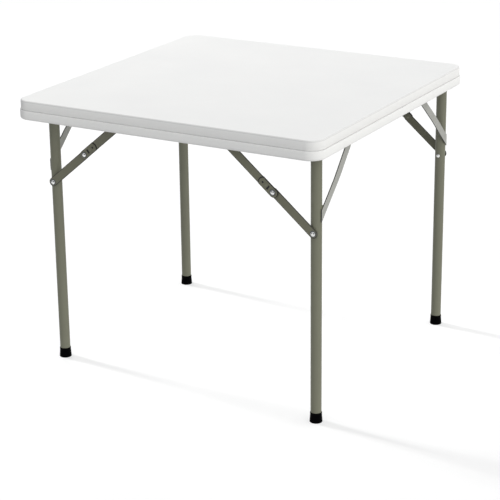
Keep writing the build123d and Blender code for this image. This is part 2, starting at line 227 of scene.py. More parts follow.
def bead(shape, path, radius, closed):
    """A weld bead: a rippled rounded strip along the path, thin at its ends unless it is closed."""
    previous = None
    first = None
    count = len(path)
    for k, here in enumerate(path):
        after = path[(k + 1) % count] if closed or k + 1 < count else here
        before = path[k - 1] if closed or k else here
        along = (after - before).normalized()
        one = along.orthogonal().normalized()
        two = along.cross(one)
        size = radius * (1.0 + BEAD_RIPPLE * math.sin(k * BEAD_STEP))
        if not closed and k in (0, count - 1):
            size *= BEAD_END
        spokes = [one * math.cos(a) + two * math.sin(a) for a in full_turn(BEAD_SIDES)]
        ring = shape.ring([tuple(here + spoke * size) for spoke in spokes])
        if previous is not None:
            shape.band(previous, ring)
        elif not closed:
            shape.face(ring)
        first = first or ring
        previous = ring
    if not closed:
        shape.face(previous)
    else:
        shape.band(previous, first)


def smooth(t):
    t = min(1.0, max(0.0, t))
    return t * t * (3 - 2 * t)


def piece(name, shape, finishes, body, stands_for=(), sharp=35.0):
    """Makes the shape an object that rides on a body. A face of kind k has the finish at place k.
    stands_for names the CAD nodes that it replaces."""
    mesh = bpy.data.meshes.new(name)
    mesh.from_pydata([(x * MM, y * MM, z * MM) for x, y, z in shape.points], [], shape.faces)
    mesh.polygons.foreach_set("material_index", shape.kinds)
    mesh.validate()
    work = bmesh.new()
    work.from_mesh(mesh)
    bmesh.ops.recalc_face_normals(work, faces=work.faces)
    work.to_mesh(mesh)
    work.free()
    mesh.shade_smooth()
    mesh.set_sharp_from_angle(angle=math.radians(sharp))
    for finish in finishes:
        mesh.materials.append(FINISHES[finish])
    made = bpy.data.objects.new(name, mesh)
    bpy.context.scene.collection.objects.link(made)
    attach(made, body)
    RECORD_SLOT.get(finishes[0], finishes[0])
    if stands_for:
        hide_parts(*stands_for)
    return made


# ---------------------------------------------------------------- materials

# Where most of a noise lies, and where an edge stands out in Pointiness
NOISE_SPREAD = (0.3, 0.7)
EDGE_SPREAD = (0.53, 0.62)


def tree_of(name):
    material = bpy.data.materials.new(name)
    material.use_nodes = True
    tree = material.node_tree
    tree.nodes.clear()
    output = tree.nodes.new("ShaderNodeOutputMaterial")
    shader = tree.nodes.new("ShaderNodeBsdfPrincipled")
    tree.links.new(shader.outputs["BSDF"], output.inputs["Surface"])
    place = tree.nodes.new("ShaderNodeTexCoord").outputs["Object"]
    return material, tree, shader, place


def stretched(tree, place, scale):
    mapping = tree.nodes.new("ShaderNodeMapping")
    mapping.inputs["Scale"].default_value = scale
    tree.links.new(place, mapping.inputs["Vector"])
    return mapping.outputs["Vector"]


def noise(tree, place, scale, detail=3.0, roughness=0.55):
    node = tree.nodes.new("ShaderNodeTexNoise")
    node.inputs["Scale"].default_value = scale
    node.inputs["Detail"].default_value = detail
    node.inputs["Roughness"].default_value = roughness
    tree.links.new(place, node.inputs["Vector"])
    return node.outputs["Fac"]


def cells(tree, place, scale, feature="SMOOTH_F1"):
    node = tree.nodes.new("ShaderNodeTexVoronoi")
    node.feature = feature
    node.inputs["Scale"].default_value = scale
    tree.links.new(place, node.inputs["Vector"])
    return node.outputs["Distance"]


def ranged(tree, value, source, target=(0.0, 1.0)):
    """Takes a value from the source range to the target range and holds it inside."""
    node = tree.nodes.new("ShaderNodeMapRange")
    tree.links.new(value, node.inputs["Value"])
    for key, number in zip(("From Min", "From Max", "To Min", "To Max"), (*source, *target)):
        node.inputs[key].default_value = number
    return node.outputs["Result"]


def mixed(tree, share, a, b):
    """Colour between a and b. Each is a colour or a socket."""
    node = tree.nodes.new("ShaderNodeMix")
    node.data_type = "RGBA"
    tree.links.new(share, node.inputs["Factor"])
    for key, value in (("A", a), ("B", b)):
        socket = [s for s in node.inputs if s.name == key and s.type == "RGBA"][0]
        if isinstance(value, tuple):
            socket.default_value = (*value, 1.0)
        else:
            tree.links.new(value, socket)
    return [s for s in node.outputs if s.type == "RGBA"][0]


def bumped(tree, height, strength, distance, under=None):
    node = tree.nodes.new("ShaderNodeBump")
    node.inputs["Strength"].default_value = strength
    node.inputs["Distance"].default_value = distance
    tree.links.new(height, node.inputs["Height"])
    if under is not None:
        tree.links.new(under, node.inputs["Normal"])
    return node.outputs["Normal"]


def pointed(tree):
    return tree.nodes.new("ShaderNodeNewGeometry").outputs["Pointiness"]


def patchy_gloss(tree, shader, place, scale, target):
    """Roughness that stays in the target range, in soft patches."""
    patches = ranged(tree, noise(tree, place, scale), NOISE_SPREAD, target)
    tree.links.new(patches, shader.inputs["Roughness"])


# Dark and light tone of the mottling, and the tone of its flecks
TOP_TONES = ((0.845, 0.845, 0.838), (0.875, 0.873, 0.862), (0.82, 0.82, 0.81))


def moulded_top(name, tone):
    """White polyethylene: faint mottling, pebbled grain, light scuffs that change only the gloss. A
    tone below 1 darkens the copies that are painted shade along the top's rounded edge and in the
    rim's groove."""
    material, tree, shader, place = tree_of(name)
    broad = ranged(tree, noise(tree, place, 5.0, detail=4.0), NOISE_SPREAD)
    speck = ranged(tree, noise(tree, place, 320.0, detail=2.0), (0.35, 0.65), (0.0, 0.35))
    dark, light, fleck = [tuple(tone * c for c in colour) for colour in TOP_TONES]
    colour = mixed(tree, broad, dark, light)
    tree.links.new(mixed(tree, speck, colour, fleck), shader.inputs["Base Color"])
    streaks = stretched(tree, place, (14.0, 160.0, 40.0))
    scuffs = noise(tree, streaks, 1.0, detail=6.0, roughness=0.7)
    tree.links.new(ranged(tree, scuffs, (0.35, 0.75), (0.44, 0.60)), shader.inputs["Roughness"])
    pebble = bumped(tree, cells(tree, place, 620.0), strength=0.16, distance=0.0004)
    normal = bumped(tree, noise(tree, place, 1500.0), strength=0.10, distance=0.0002, under=pebble)
    tree.links.new(normal, shader.inputs["Normal"])
    shader.inputs["Specular IOR Level"].default_value = 0.42
    return material


def powder_coat(name, dark, light, worn):
    """Powder-coated steel: orange-peel skin, small tone changes, edges a little lighter."""
    material, tree, shader, place = tree_of(name)
    broad = ranged(tree, noise(tree, place, 22.0, detail=4.0), NOISE_SPREAD)
    fleck = ranged(tree, noise(tree, place, 900.0, detail=2.0), (0.4, 0.7), (0.0, 0.5))
    colour = mixed(tree, broad, dark, light)
    flecked = mixed(tree, fleck, colour, light)
    edge = ranged(tree, pointed(tree), EDGE_SPREAD, (0.0, 0.6))
    tree.links.new(mixed(tree, edge, flecked, worn), shader.inputs["Base Color"])
    patchy_gloss(tree, shader, place, 60.0, (0.36, 0.50))
    peel = bumped(tree, noise(tree, place, 420.0, detail=2.0), strength=0.18, distance=0.0003)
    grain = noise(tree, place, 2200.0, detail=2.0)
    normal = bumped(tree, grain, strength=0.10, distance=0.0001, under=peel)
    tree.links.new(normal, shader.inputs["Normal"])
    shader.inputs["Specular IOR Level"].default_value = 0.35
    return material


def zinc_plate():
    """Bright zinc: fine turned lines, faint clouding and small pits."""
    material, tree, shader, place = tree_of("zinc")
    cloud = ranged(tree, noise(tree, place, 180.0, detail=4.0), NOISE_SPREAD)
    colour = mixed(tree, cloud, (0.66, 0.67, 0.67), (0.82, 0.82, 0.80))
    pits = ranged(tree, cells(tree, place, 1400.0, "F1"), (0.0, 0.18), (0.6, 0.0))
    tree.links.new(mixed(tree, pits, colour, (0.42, 0.42, 0.40)), shader.inputs["Base Color"])
    patchy_gloss(tree, shader, place, 700.0, (0.24, 0.40))
    turned = stretched(tree, place, (300.0, 2600.0, 300.0))
    normal = bumped(tree, noise(tree, turned, 1.0, detail=2.0), strength=0.08, distance=0.0001)
    tree.links.new(normal, shader.inputs["Normal"])
    shader.inputs["Metallic"].default_value = 1.0
    return material


def painted_shade_for_rivets():
    """Near-black steel, painted shade round and on the rivet heads: oily clouding, fine pitting,
    brighter worn rim.
    """
    material, tree, shader, place = tree_of("washer_steel")
    cloud = ranged(tree, noise(tree, place, 240.0, detail=4.0), NOISE_SPREAD)
    colour = mixed(tree, cloud, (0.045, 0.05, 0.055), (0.085, 0.09, 0.095))
    edge = ranged(tree, pointed(tree), (0.54, 0.64), (0.0, 0.5))
    tree.links.new(mixed(tree, edge, colour, (0.20, 0.20, 0.20)), shader.inputs["Base Color"])
    patchy_gloss(tree, shader, place, 500.0, (0.34, 0.52))
    normal = bumped(tree, noise(tree, place, 1900.0, detail=2.0), strength=0.12, distance=0.0001)
    tree.links.new(normal, shader.inputs["Normal"])
    shader.inputs["Metallic"].default_value = 0.6
    return material


def black_moulding():
    """Black moulded plastic: fine spark-eroded grain, slight grey bloom on its edges."""
    material, tree, shader, place = tree_of("black_plastic")
    bloom = ranged(tree, noise(tree, place, 90.0, detail=4.0), (0.35, 0.7))
    colour = mixed(tree, bloom, (0.0004, 0.0004, 0.0008), (0.0012, 0.0012, 0.0016))
    edge = ranged(tree, pointed(tree), EDGE_SPREAD, (0.0, 0.5))
    tree.links.new(mixed(tree, edge, colour, (0.005, 0.005, 0.005)), shader.inputs["Base Color"])
    patchy_gloss(tree, shader, place, 300.0, (0.50, 0.66))
    normal = bumped(tree, noise(tree, place, 2400.0), strength=0.22, distance=0.00015)
    tree.links.new(normal, shader.inputs["Normal"])
    shader.inputs["Specular IOR Level"].default_value = 0.02
    return material


# Dark, light and worn tone of each coated steel
COATS = {
    "leg_steel": ((0.128, 0.132, 0.082), (0.145, 0.149, 0.095), (0.21, 0.21, 0.16)),
    "rail_steel": ((0.095, 0.098, 0.072), (0.118, 0.121, 0.090), (0.18, 0.18, 0.15)),
    # The leg coat made lighter: painted light on the straps under the top's overhang
    "strap_painted_light_steel": ((0.154, 0.153, 0.106), (0.174, 0.172, 0.122), (0.24, 0.24, 0.19)),
    # The leg coat made much lighter and greyer: a painted sheen for the light the gussets' outward
    # faces reflect
    "gusset_painted_sheen_steel": ((0.330, 0.333, 0.305), (0.365, 0.367, 0.340), (0.42, 0.42, 0.39)),
    # Near-black: painted shade on strap and gusset edges, and the shadow line round the lock plate
    "edge_painted_shade_steel": ((0.022, 0.022, 0.018), (0.034, 0.034, 0.027), (0.06, 0.06, 0.05)),
    # The leg coat made darker: painted shade on the links' inner faces
    "inner_face_painted_shade_steel": ((0.105, 0.104, 0.066), (0.122, 0.120, 0.080), (0.17, 0.17, 0.12)),
    # Black: a sheet under the lock plate whose rim paints the shadow line at its bow
    "shadow_sheet_steel": ((0.005, 0.005, 0.004), (0.009, 0.009, 0.007), (0.02, 0.02, 0.015)),
}
FINISHES = {
    "top_plastic": moulded_top("top_plastic", 1.0),
    # Darker copies of the top plastic: painted shade on the rounded top edge and in the groove
    "top_edge_painted_shade": moulded_top("top_edge_painted_shade", 0.83),
    "top_groove_painted_shade": moulded_top("top_groove_painted_shade", 0.81),
    "zinc": zinc_plate(),
    "black_plastic": black_moulding(),
    "washer_steel": painted_shade_for_rivets(),
}
for coat, tones in COATS.items():
    FINISHES[coat] = powder_coat(coat, *tones)

# The record's slot of a finish that isn't one itself: the leg coat lightened as painted light or
# darkened as painted shade
RECORD_SLOT = {"strap_painted_light_steel": "leg_steel", "gusset_painted_sheen_steel": "leg_steel", "shadow_sheet_steel": "leg_steel"}


def finish_of(node_name):
    """The finish of a CAD node, from its name."""
    if node_name == "tabletop":
        return "top_plastic"
    if "cap" in node_name or "bush" in node_name:
        return "black_plastic"
    if "elbow_tail" in node_name:
        return "strap_painted_light_steel"
    if "rivet" in node_name or "screw" in node_name:
        return "zinc"
    if "rail" in node_name or "bracket" in node_name:
        return "rail_steel"
    return "leg_steel"


for node_name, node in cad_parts.items():
    if not node.material_slots:
        node.data.materials.append(None)
    for slot in node.material_slots:
        slot.material = FINISHES[finish_of(node_name)]


# ---------------------------------------------------------------- moulded top

DIMPLE_PITCH = 49.0
ROW_PITCH = DIMPLE_PITCH / 2
SCALLOP_HALF = 9.0
SCALLOP_DEPTH = 5.0
SCALLOP_COLUMNS = range(-7, 8)
STRAIGHT = HALF_WIDTH - CORNER_RADIUS
CORNER_STEPS = 16

# Places along a scallop, as shares of its half width
ARC_SHARES = [-1.0, -0.94, -0.77, -0.5, -0.17, 0.17, 0.5, 0.77, 0.94, 1.0]

# Cups in the underside: half length along X, half width along Y, depth
DIMPLE = (7.0, 4.6, 12.0)
DOT = (3.4, 3.4, 9.0)
SLIT = (4.6, 1.9, 7.0)
STUD = (2.6, 3.4, 9.0)
DIMPLE_ROWS = range(-15, 15)
DIMPLE_COLUMNS = range(-8, 9)
DOT_COLUMNS = range(-8, 8)
FIELD_HALF = 371.0
OUTER_DOTS_X = 409.5
INNER_DOTS_X = 372.0
INNER_DOTS_HALF = 380.0
SLITS_X = 410.5
STUDS_Y = 389.0

# (growth, rise, shrink) of the levels of a cup's rounded mouth
CUP_MOUTH = [(1.4, 0.0, 0.0), (1.1, 0.0, 0.0), (0.35, 0.4, 0.0), (0.0, 1.3, 0.0)]
CUP_FLOOR_SHRINK = 0.3
CUP_WALL_SHRINK = 0.16
CUP_WALL_END = 1.2

# Bands of the rim, counted from the top face, that take the darker copies as painted shade: along
# the top's rounded edge, and in the groove between the tiers
EDGE_SHADE_BANDS = range(2, 7)
GROOVE_SHADE_BANDS = range(8, 16)


def rim_path():
    """(point on the corner-centre square, outward direction, scallop share) round the top."""
    path = []
    along = [(k * DIMPLE_PITCH + s * SCALLOP_HALF, math.sqrt(1 - s * s))
             for k in SCALLOP_COLUMNS for s in ARC_SHARES]
    for quarter in range(4):
        turn = math.pi / 2 * quarter
        out = Vector((math.cos(turn), math.sin(turn)))
        side = Vector((-math.sin(turn), math.cos(turn)))
        for t, share in along:
            path.append((out * STRAIGHT + side * t, out, share))
        for k in range(CORNER_STEPS + 1):
            a = turn + math.pi / 2 * k / CORNER_STEPS
            path.append((out * STRAIGHT + side * STRAIGHT, Vector((math.cos(a), math.sin(a))), 0.0))
    return path


def underside_cups():
    """(x, y, cup) of each dimple, dot, slit and stud."""
    cups = []
    for row in DIMPLE_ROWS:
        x = (row + 0.5) * ROW_PITCH
        shift = ROW_PITCH if row % 2 else 0.0
        for column in DIMPLE_COLUMNS:
            y = column * DIMPLE_PITCH + shift
            if abs(y) < FIELD_HALF:
                cups.append((x, y, DIMPLE))
    for side in (-1, 1):
        for column in DOT_COLUMNS:
            y = (column + 0.5) * DIMPLE_PITCH
            cups.append((side * OUTER_DOTS_X, y, DOT))
            if abs(y) < INNER_DOTS_HALF:
                cups.append((side * INNER_DOTS_X, y, DOT))
        for column in SCALLOP_COLUMNS:
            cups.append((side * SLITS_X, column * DIMPLE_PITCH, SLIT))
            cups.append((column * DIMPLE_PITCH, side * STUDS_Y, STUD))
    return cups


def rim_profile():
    """(inset, height) pairs from the top face, down the upper tier, groove and lower tier."""
    step, deep = TIER_STEP, TIER_STEP + GROOVE_DEPTH
    rim = [(step + TOP_EDGE + TOP_FLAT, TABLE_HEIGHT)]
    rim += arc((step + TOP_EDGE, TABLE_HEIGHT - TOP_EDGE), TOP_EDGE, 90, 180, 6)
    rim += [(step, GROOVE_TOP + 0.7), (step + 0.3, GROOVE_TOP + 0.1), (step + 0.7, GROOVE_TOP)]
    rim += [(deep - 0.2, GROOVE_TOP - 0.1), (deep, GROOVE_TOP - 0.4)]
    rim += [(deep, TIER_TOP + 0.4), (deep - 0.2, TIER_TOP + 0.1), (deep - 0.5, TIER_TOP)]
    rim += arc((TIER_EDGE, TIER_TOP - TIER_EDGE), TIER_EDGE, 90, 180, 3)
    return rim + arc((BOTTOM_EDGE, RIM_BOTTOM + BOTTOM_EDGE), BOTTOM_EDGE, 180, 270, 7)


def recess_profile():
    """(inset, height) pairs from the rim's foot up the recess wall to the underside."""
    wall = arc((LIP_WIDTH - LIP_EDGE, RIM_BOTTOM + LIP_EDGE), LIP_EDGE, -90, 0, 4)
    wall += arc((LIP_WIDTH + RECESS_EDGE, UNDERSIDE - RECESS_EDGE), RECESS_EDGE, 180, 90, 4)
    return wall + [(LIP_WIDTH + RECESS_EDGE + 0.4, UNDERSIDE)]


def make_cup(shape, x, y, cup):
    """Presses a cup up into the underside and returns the loop of its mouth."""
    half_x, half_y, depth = cup
    turns = full_turn(18 if cup == DIMPLE else 12)
    levels = [*CUP_MOUTH, (0.0, depth - CUP_WALL_END, CUP_WALL_SHRINK)]
    levels.append((0.0, depth, CUP_FLOOR_SHRINK))
    loops = []
    for grow, rise, shrink in levels:
        a = (half_x + grow) * (1 - shrink)
        b = (half_y + grow) * (1 - shrink)
        z = UNDERSIDE + rise
        loops.append(shape.ring([(x + a * math.cos(t), y + b * math.sin(t), z) for t in turns]))
    for lower, upper in zip(loops, loops[1:]):
        shape.band(lower, upper)
    shape.face(loops[-1])
    return loops[0]


def make_top():
    shape = Shape()
    path = rim_path()

    def loop(inset, z, scallop=0.0):
        reaches = [CORNER_RADIUS - inset + scallop * share for _, _, share in path]
        spots = [(p.x + n.x * r, p.y + n.y * r, z) for (p, n, _), r in zip(path, reaches)]
        return shape.ring(spots)

    rings = [loop(inset, z) for inset, z in rim_profile()]
    rings += [loop(inset, z, SCALLOP_DEPTH) for inset, z in recess_profile()]
    shape.face(rings[0])
    for k, (a, b) in enumerate(zip(rings, rings[1:])):
        # Bands along the top's rounded edge and in the groove take the darker finishes: painted
        # shade
        shape.kind = 1 if k in EDGE_SHADE_BANDS else 2 if k in GROOVE_SHADE_BANDS else 0
        shape.band(a, b)
    shape.kind = 0
    holes = [make_cup(shape, x, y, cup) for x, y, cup in underside_cups()]
    shape.fill(rings[-1], holes, lambda i: shape.points[i][:2])
    piece("moulded_top", shape, ["top_plastic", "top_edge_painted_shade", "top_groove_painted_shade"], "root", ["tabletop"])


make_top()


# ---------------------------------------------------------------- foot caps

# (radius, height) pairs of a foot cap: its sole, its upper end with the bead, and its bore. Each
# groove has (cut, rise) pairs from its lower edge.
FOOT_SOLE = [(0.0, 0.8), (9.3, 0.8), (10.1, 0.0), (15.0, 0.0), (15.85, 0.35), (16.2, 1.2)]
FOOT_GROOVES = (5.0, 8.6, 12.2)
FOOT_GROOVE_CUT = ((0.0, 0.0), (0.4, 0.35), (0.44, 0.95), (0.09, 1.3))
FOOT_WALL = 16.28
FOOT_TAPER = 0.066
FOOT_BEAD = [(14.8, 20.8), (14.72, 21.8), (15.0, 22.6), (15.1, 24.0), (15.0, 25.6), (14.7, 26.6)]
FOOT_BORE = [(14.2, 27.0), (13.98, 26.85), (13.88, 26.2), (13.86, 4.06), (0.0, 4.06)]


def make_foot(name, side_name):
    """A cap that widens to its sole, with three grooves and a bead at its upper end."""
    shape = Shape()
    grooves = []
    for z in FOOT_GROOVES:
        wall = FOOT_WALL - FOOT_TAPER * z
        grooves += [(wall - cut, z + rise) for cut, rise in FOOT_GROOVE_CUT]
    spot = (END[name] * PIVOT_X, SIDES[side_name] * LEG_Y[name], 0.0)
    lathe(shape, FOOT_SOLE + grooves + FOOT_BEAD + FOOT_BORE, spot, (0, 0, 1), 48)
    node = f"{name}_foot_cap_{side_name}"
    piece(f"foot_{name}_{side_name}", shape, ["black_plastic"], f"{name}_frame", [node])


for name in END:
    for side_name in SIDES:
        make_foot(name, side_name)


# ---------------------------------------------------------------- locking stays

STAY_DROP = 204.0
STAY_ANCHOR = 242.0
STAY_HALF = 11.5
STAY_SHEET = 2.0
STRAP_EDGE = 0.9
# Width of the band of painted shade on a strap's face beside its edge
EDGE_RIM = 0.8
# The strap face lightened as painted light, and darker finishes as painted shade on the edges and
# the inner face
STRAP_FINISHES = ["strap_painted_light_steel", "edge_painted_shade_steel", "inner_face_painted_shade_steel"]
STAY_LENGTH = math.hypot(STAY_DROP, STAY_ANCHOR)
LOWER_LENGTH = (STAY_LENGTH - STAY_ANCHOR + STAY_DROP) / 2
UPPER_LENGTH = STAY_LENGTH - LOWER_LENGTH
LOWER_LAYER = 16.0
ELBOW_LAYER = 18.4
UPPER_LAYER = 20.0
PLATE_FACE = 23.0
NOSE = UPPER_LENGTH + 2.5
STEP_START = UPPER_LENGTH - 45.0
STEP_END = UPPER_LENGTH - 41.0
PLATE_START = UPPER_LENGTH - 46.0
PLATE_BOW = 5.0
PIN_RADIUS = 3.0
PIN_HOLE = 3.06
WASHER_RADIUS = 8.2
# Two pits on each rivet head, painted dark as shade
PIT_SPREAD = 0.50
PIT_RISE = 0.36
PIT_SIZE = 0.34
PIT_DEPTH = 0.5
DOME_ROUND = 0.86
DOME_RINGS = 12
DOME_SIDES = 40
WASHER_SHEET = 0.4
WASHER_EDGE = 0.15
ELBOW_HEAD = (5.3, 1.7)
LEG_HEAD = (5.8, 1.4)
COLLAR = 6.5
COLLAR_EDGE = 0.3
COLLAR_SEAT = 0.2
LINK_GAP = 0.1
PIN_OVERLAP = 0.3
HEAD_SEAT = 0.2
TAIL_DOME = [(0.0, -2.0), (2.2, -1.75), (3.9, -1.05), (4.8, -0.35), (5.0, 0.0)]
# Zinc, and near-black for painted shade: the washer ring and the head pits
RIVET_FINISHES = ["zinc", "washer_steel"]

# Middle along and across the upper link, and half sizes or radius
LOCK_TAB = (UPPER_LENGTH - 25.0, 0.0, 2.5, 4.0)
LOCK_WINDOW = (UPPER_LENGTH - 16.5, 0.0, 1.5, 5.0)
LOCK_HOLE = (UPPER_LENGTH - 35.0, 0.0, 2.0)
TAB_HEIGHT = 0.8
TAB_SLOPE = 0.9
LOCK_EDGE = 0.7
# A black sheet under the lock plate, showing past its bow as a painted shadow line
SHADOW_SHEET_START = 2.4
SHADOW_SHEET_PROUD = 0.2
SHADOW_SHEET_THICKNESS = 1.9
SHADOW_SHEET_EDGE = 0.5
SHADOW_SHEET_LIFT = 0.01
BEND_ROWS_HALF = 9.2


def link_place(origin_x, origin_z, direction, side, layer):
    """Puts (s, v, h) in space: s along the link, v across it, h outwards from the layer."""
    across = (-direction[1], direction[0])
    return lambda s, v, h: (
        origin_x + direction[0] * s + across[0] * v,
        side * (layer(s, v) + h),
        origin_z + direction[1] * s + across[1] * v,
    )


def make_lower_link(name, side_name):
    side = SIDES[side_name]
    direction = (-END[name] * STAY_ANCHOR / STAY_LENGTH, STAY_DROP / STAY_LENGTH)
    layer = LEG_Y[name] + LOWER_LAYER
    origin = (END[name] * PIVOT_X, PIVOT_Z[name] - STAY_DROP)
    place = link_place(*origin, direction, side, lambda s, v: layer)
    shape = Shape()
    outline = slot_border(0.0, LOWER_LENGTH, STAY_HALF)
    holes = [round_hole(0.0, 0.0, PIN_HOLE), round_hole(LOWER_LENGTH, 0.0, PIN_HOLE)]
    # Edges and inner face take finishes of painted shade
    plate(shape, outline, holes, STAY_SHEET, STRAP_EDGE, place,
          edge_kind=1, edge_rim=EDGE_RIM, under_kind=2)
    node = f"{name}_lower_link_{side_name}"
    body = f"{name}_lower_{side_name}"
    piece(f"lower_strap_{name}_{side_name}", shape, STRAP_FINISHES, body, [node])


def bowed_border(grow, nose_grow):
    """Outline of the lock plate: a shallow bow at its start and a half circle round the rivet."""
    def border(inset):
        half = STAY_HALF + nose_grow - inset
        start = PLATE_START - grow + inset
        rows = [half * (k / 6 - 1) for k in range(13)]
        bow = [(start + PLATE_BOW * (v / half) ** 2, v) for v in rows]
        turns = [math.pi / 2 - math.pi * k / 16 for k in range(17)]
        return bow + [(NOSE + half * math.cos(a), half * math.sin(a)) for a in turns]
    return border


def make_upper_link(name, side_name):
    """The strap that steps down to the elbow, the lock plate on it, and a black sheet under the
    plate whose rim shows past the plate's bow as a painted shadow line.
    """
    side = SIDES[side_name]
    direction = (END[name] * STAY_ANCHOR / STAY_LENGTH, -STAY_DROP / STAY_LENGTH)
    origin = (END[name] * (PIVOT_X - STAY_ANCHOR), PIVOT_Z[name])
    base = LEG_Y[name]

    def strap_layer(s, v):
        down = smooth((s - STEP_START) / (STEP_END - STEP_START))
        return base + UPPER_LAYER + (ELBOW_LAYER - UPPER_LAYER) * down

    def tab_rise(s, v):
        off_s = abs(s - LOCK_TAB[0]) - LOCK_TAB[2] + TAB_SLOPE
        off_v = abs(v - LOCK_TAB[1]) - LOCK_TAB[3] + TAB_SLOPE
        return TAB_HEIGHT * (1.0 - smooth(max(off_s, off_v, 0.0) / TAB_SLOPE))

    shape = Shape()
    ramp = [STEP_START + (STEP_END - STEP_START) * k / 4 for k in range(5)]
    rows = spread_rows(BEND_ROWS_HALF)
    pin_hole = round_hole(UPPER_LENGTH, 0.0, PIN_HOLE)
    outline = slot_border(0.0, NOSE, STAY_HALF, ramp)
    holes = [round_hole(0.0, 0.0, PIN_HOLE), pin_hole]
    place = link_place(*origin, direction, side, strap_layer)
    bends = [[(s, v) for v in rows] for s in ramp]
    # Edges and inner face take finishes of painted shade
    plate(shape, outline, holes, STAY_SHEET, STRAP_EDGE, place, bends,
          edge_kind=1, edge_rim=EDGE_RIM, under_kind=2)

    thickness = PLATE_FACE - ELBOW_LAYER - STAY_SHEET
    sheet_face = base + ELBOW_LAYER + STAY_SHEET
    flat = link_place(*origin, direction, side, lambda s, v: sheet_face)

    def plate_place(s, v, h):
        return flat(s, v, h + (tab_rise(s, v) if h > thickness / 2 else 0.0))

    tab = box_hole(*LOCK_TAB)
    lines = []
    for grow in (-TAB_SLOPE, -TAB_SLOPE / 2, 0.0):
        corners = tab(grow)
        lines.append(corners + corners[:1])
    holes = [pin_hole, box_hole(*LOCK_WINDOW), round_hole(*LOCK_HOLE)]
    outline = bowed_border(0.0, 0.0)
    # The plate's edges take the near-black finish: painted shade
    plate(shape, outline, holes, thickness, LOCK_EDGE, plate_place, lines, edge_kind=1)
    node = f"{name}_upper_link_{side_name}"
    body = f"{name}_upper_{side_name}"
    piece(f"upper_strap_{name}_{side_name}", shape, STRAP_FINISHES, body, [node])

    # Painted shadow: a black sheet under the lock plate, its rim showing past the bow
    shadow_sheet_shape = Shape()
    plate(shadow_sheet_shape, bowed_border(SHADOW_SHEET_START, SHADOW_SHEET_PROUD), [pin_hole], SHADOW_SHEET_THICKNESS, SHADOW_SHEET_EDGE,
          lambda s, v, h: flat(s, v, h + SHADOW_SHEET_LIFT))
    piece(f"lock_shadow_sheet_{name}_{side_name}", shadow_sheet_shape, ["shadow_sheet_steel"], body)


def rivet_head(shape, spot, side, seat, radius, height):
    """A domed head that faces outwards, with two small pits beside its upper middle whose faces
    take the near-black finish: painted shade on the dome.
    """
    spread, lift, reach = PIT_SPREAD * radius, PIT_RISE * radius, PIT_SIZE * radius

    def place(u, w):
        share = min(1.0, math.hypot(u, w) / radius)
        pit = max(1.0 - math.hypot(u - c, w - lift) / reach for c in (-spread, spread))
        rise = height * math.sqrt(1.0 - DOME_ROUND * share ** 2) - PIT_DEPTH * smooth(2.0 * pit)
        return (spot[0] + u, spot[1] + side * (seat + rise), spot[2] + w), pit > 0.0

    turns = full_turn(DOME_SIDES)
    sizes = [radius * (k / DOME_RINGS) for k in range(1, DOME_RINGS + 1)]
    rings = [[(size * math.cos(a), size * math.sin(a)) for a in turns] for size in sizes]
    middle = shape.ring([place(0.0, 0.0)[0]])[0]
    previous = None
    for loop in rings:
        placed = [place(u, w) for u, w in loop]
        current = shape.ring([point for point, _ in placed])
        for n in range(DOME_SIDES):
            after = (n + 1) % DOME_SIDES
            # Faces in the pits take the near-black finish: painted shade
            shape.kind = 1 if placed[n][1] and placed[after][1] else 0
            if previous:
                shape.face((previous[n], current[n], current[after], previous[after]))
            else:
                shape.face((middle, current[n], current[after]))
        previous = current
    shape.kind = 0
    base = shape.ring([(spot[0] + u, spot[1] + side * seat, spot[2] + w) for u, w in rings[-1]])
    shape.band(previous, base)
    shape.face(base)


def washer(shape, spot, outwards, seat):
    """A disc with rounded edges that lies on the seat, round the pin, in the near-black finish: a
    painted shadow ring round the head.
    """
    top, rim = seat + WASHER_SHEET, WASHER_RADIUS - WASHER_EDGE
    profile = [(PIN_HOLE, seat), (rim, seat), (WASHER_RADIUS, seat + WASHER_EDGE)]
    profile += [(WASHER_RADIUS, top - WASHER_EDGE), (rim, top), (PIN_HOLE, top), (PIN_HOLE, seat)]
    shape.kind = 1
    lathe(shape, profile, spot, outwards)
    shape.kind = 0


def make_elbow_rivet(name, side_name):
    """The head half of an elbow rivet: pin, domed head and washer on the lock plate."""
    side = SIDES[side_name]
    elbow_x = END[name] * (PIVOT_X - STAY_ANCHOR * (1 - UPPER_LENGTH / STAY_LENGTH))
    elbow_z = PIVOT_Z[name] - STAY_DROP * UPPER_LENGTH / STAY_LENGTH
    spot = (elbow_x, side * LEG_Y[name], elbow_z)
    outwards = (0, side, 0)
    pin_end = PLATE_FACE + PIN_OVERLAP
    shape = Shape()
    pin = [(0.0, ELBOW_LAYER), (PIN_RADIUS, ELBOW_LAYER), (PIN_RADIUS, pin_end), (0.0, pin_end)]
    lathe(shape, pin, spot, outwards)
    rivet_head(shape, spot, side, PLATE_FACE + HEAD_SEAT, *ELBOW_HEAD)
    washer(shape, spot, outwards, PLATE_FACE)
    node = f"{name}_elbow_head_{side_name}"
    body = f"{name}_upper_{side_name}"
    piece(f"elbow_rivet_{name}_{side_name}", shape, RIVET_FINISHES, body, [node])


